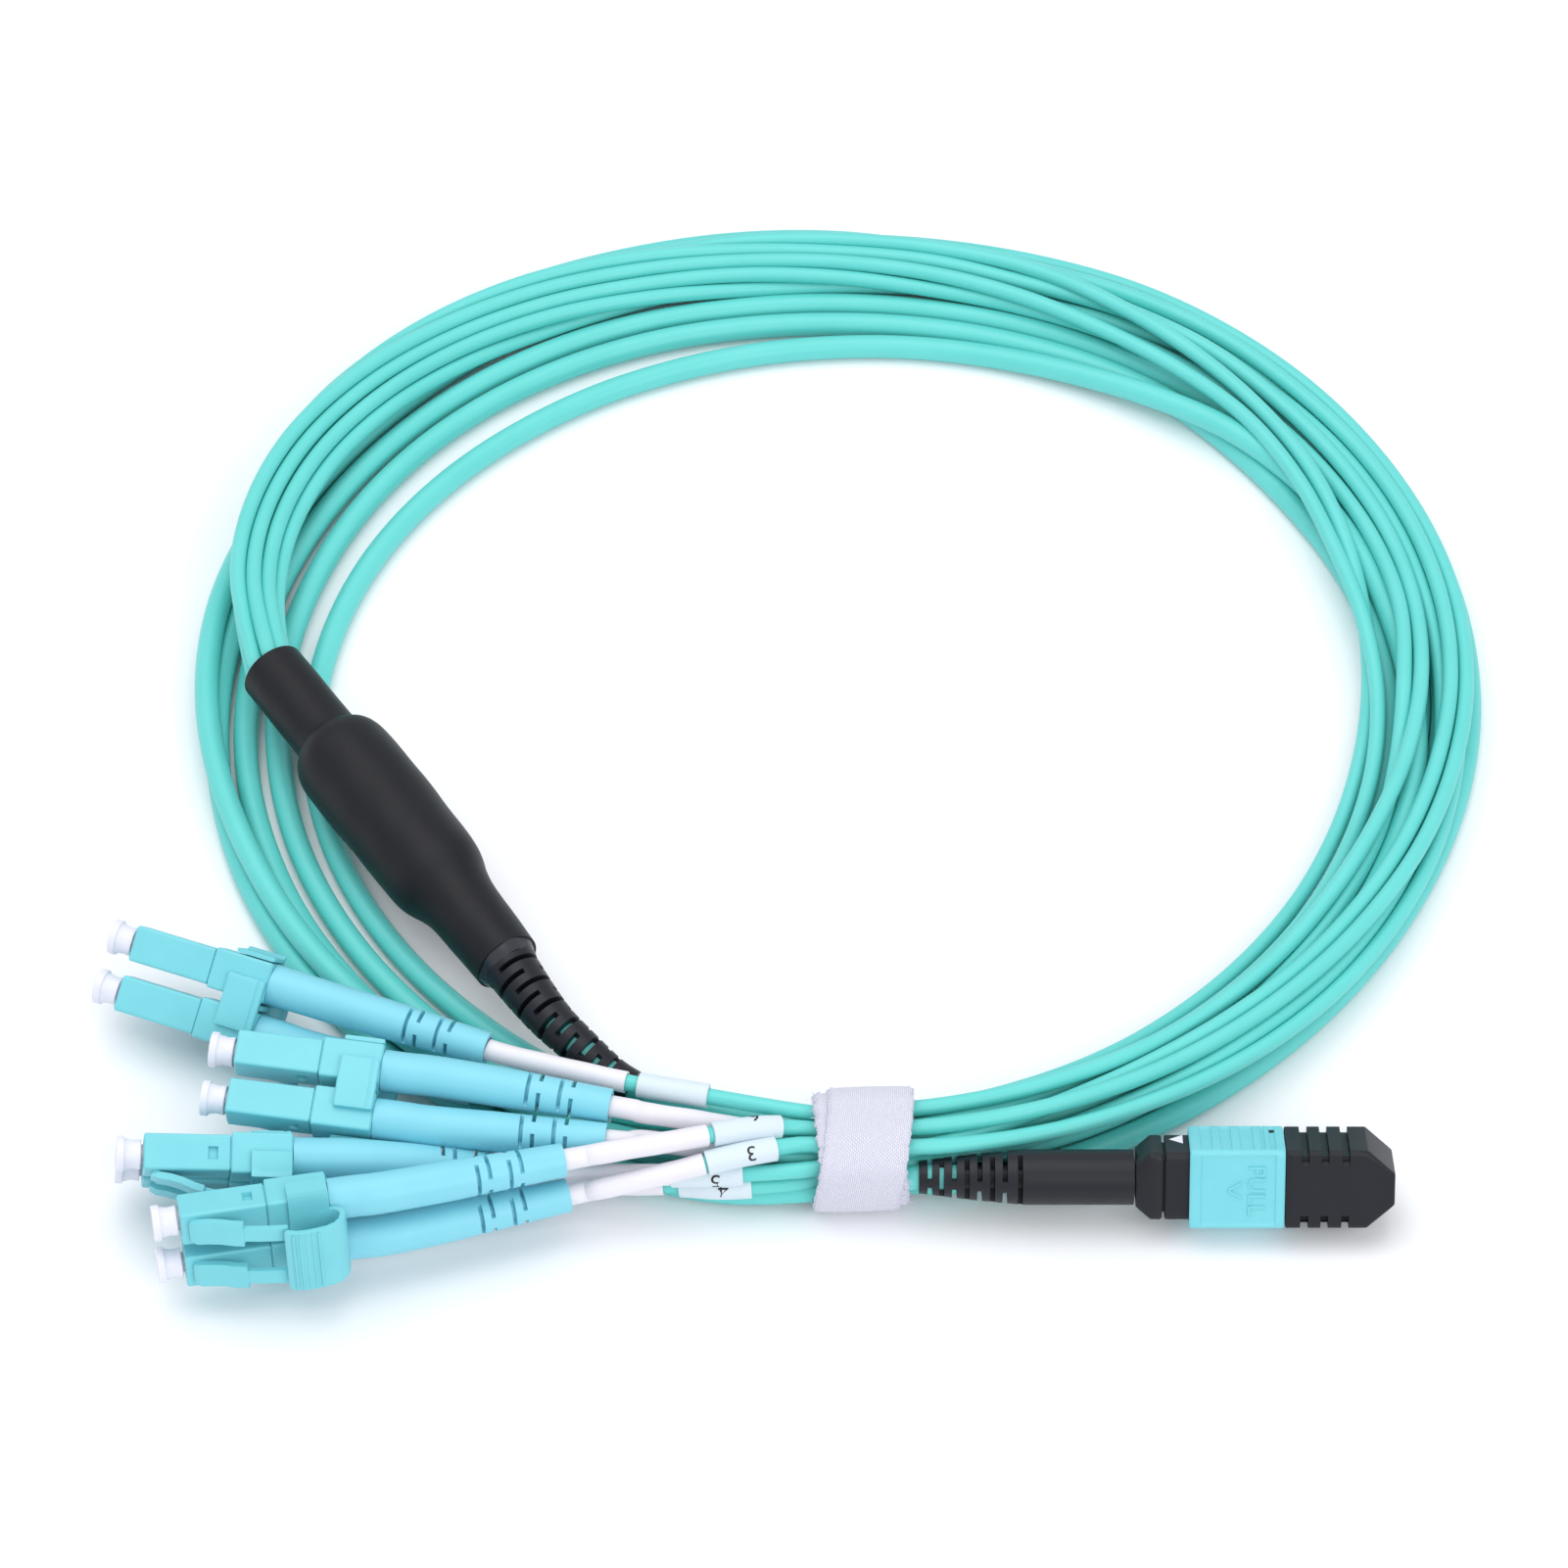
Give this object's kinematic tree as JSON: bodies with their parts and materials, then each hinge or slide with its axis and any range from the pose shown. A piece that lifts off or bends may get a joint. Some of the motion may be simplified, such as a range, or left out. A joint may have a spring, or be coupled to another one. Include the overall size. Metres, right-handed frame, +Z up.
{
  "type": "fibre breakout cable",
  "caption": "Coiled, strapped fibre breakout cable: a trunk from a push-on plug divides in a fan-out into thin legs with capped small plugs clipped in pairs.",
  "frame": {"origin": "on the surface the cable lies on, under the middle of the box round its plugs, fan-out and strap", "axes": "+X to the picture's right along the push-on plug, +Y away from the viewer across the coil, +Z up off the surface"},
  "size_m": [0.1696, 0.1758, 0.0165],
  "materials": {
    "aqua_cable": "satin aqua cable jacket",
    "aqua_moulding": "satin light aqua moulded plastic",
    "black_moulding": "satin black moulded plastic and rubber",
    "black_heat_shrink": "satin black heat-shrink tubing",
    "white_cap": "translucent white soft plastic",
    "white_tubing": "satin white heat-shrink tubing",
    "white_strap": "white hook-and-loop strap, woven"
  },
  "bodies": {
    "cable": {"coil": "aqua_cable", "fanout_boot": "black_moulding", "fanout_sleeve": "black_heat_shrink", "lc_boot_a1": "aqua_moulding", "lc_boot_a2": "aqua_moulding", "lc_boot_b1": "aqua_moulding", "lc_boot_b2": "aqua_moulding", "lc_boot_c1": "aqua_moulding", "lc_boot_c2": "aqua_moulding", "lc_boot_d1": "aqua_moulding", "lc_boot_d2": "aqua_moulding", "lc_clip_a": "aqua_moulding", "lc_clip_b": "aqua_moulding", "lc_clip_c": "aqua_moulding", "lc_clip_d": "aqua_moulding", "lc_plug_a1": "aqua_moulding", "lc_plug_a2": "aqua_moulding", "lc_plug_b1": "aqua_moulding", "lc_plug_b2": "aqua_moulding", "lc_plug_c1": "aqua_moulding", "lc_plug_c2": "aqua_moulding", "lc_plug_d1": "aqua_moulding", "lc_plug_d2": "aqua_moulding", "leg_a1": "aqua_cable", "leg_a2": "aqua_cable", "leg_b1": "aqua_cable", "leg_b2": "aqua_cable", "leg_bundle": "aqua_cable", "leg_c1": "aqua_cable", "leg_c2": "aqua_cable", "leg_d1": "aqua_cable", "leg_d2": "aqua_cable", "push_plug_boot": "black_moulding", "push_plug_housing": "black_moulding", "push_plug_rear_shell": "black_moulding", "strap": "white_strap", "trunk_to_fanout": "aqua_cable", "tubing_a1": "white_tubing", "tubing_a2": "white_tubing", "tubing_b1": "white_tubing", "tubing_b2": "white_tubing", "tubing_c1": "white_tubing", "tubing_c2": "white_tubing", "tubing_d1": "white_tubing", "tubing_d2": "white_tubing"},
    "cap_a1": {"lc_cap_a1": "white_cap"},
    "cap_a2": {"lc_cap_a2": "white_cap"},
    "cap_b1": {"lc_cap_b1": "white_cap"},
    "cap_b2": {"lc_cap_b2": "white_cap"},
    "cap_c1": {"lc_cap_c1": "white_cap"},
    "cap_c2": {"lc_cap_c2": "white_cap"},
    "cap_d1": {"lc_cap_d1": "white_cap"},
    "cap_d2": {"lc_cap_d2": "white_cap"},
    "push_cap": {"push_plug_cap": "white_cap"},
    "pull_sleeve": {"push_plug_sleeve": "black_moulding"}
  },
  "joints": [
    {"name": "cap_a1_pull", "type": "slide", "parent": "cable", "child": "cap_a1", "axis": [-0.9383, 0.3452, 0.0227], "range_m": [0, 0.008]},
    {"name": "cap_a2_pull", "type": "slide", "parent": "cable", "child": "cap_a2", "axis": [-0.9383, 0.3452, 0.0227], "range_m": [0, 0.008]},
    {"name": "cap_b1_pull", "type": "slide", "parent": "cable", "child": "cap_b1", "axis": [-0.9897, 0.1426, 0.0157], "range_m": [0, 0.008]},
    {"name": "cap_b2_pull", "type": "slide", "parent": "cable", "child": "cap_b2", "axis": [-0.9897, 0.1426, 0.0157], "range_m": [0, 0.008]},
    {"name": "cap_c1_pull", "type": "slide", "parent": "cable", "child": "cap_c1", "axis": [-0.9955, -0.0365, 0.0872], "range_m": [0, 0.008]},
    {"name": "cap_c2_pull", "type": "slide", "parent": "cable", "child": "cap_c2", "axis": [-0.9955, -0.0365, 0.0872], "range_m": [0, 0.008]},
    {"name": "cap_d1_pull", "type": "slide", "parent": "cable", "child": "cap_d1", "axis": [-0.9865, -0.1633, -0.0105], "range_m": [0, 0.008]},
    {"name": "cap_d2_pull", "type": "slide", "parent": "cable", "child": "cap_d2", "axis": [-0.9865, -0.1633, -0.0105], "range_m": [0, 0.008]},
    {"name": "push_cap_pull", "type": "slide", "parent": "cable", "child": "push_cap", "axis": [1, 0, 0], "range_m": [0, 0.012]},
    {"name": "pull_sleeve_slide", "type": "slide", "parent": "cable", "child": "pull_sleeve", "axis": [-1, 0, 0], "range_m": [0, 0.0024], "stiffness_N_per_m": 30}
  ]
}
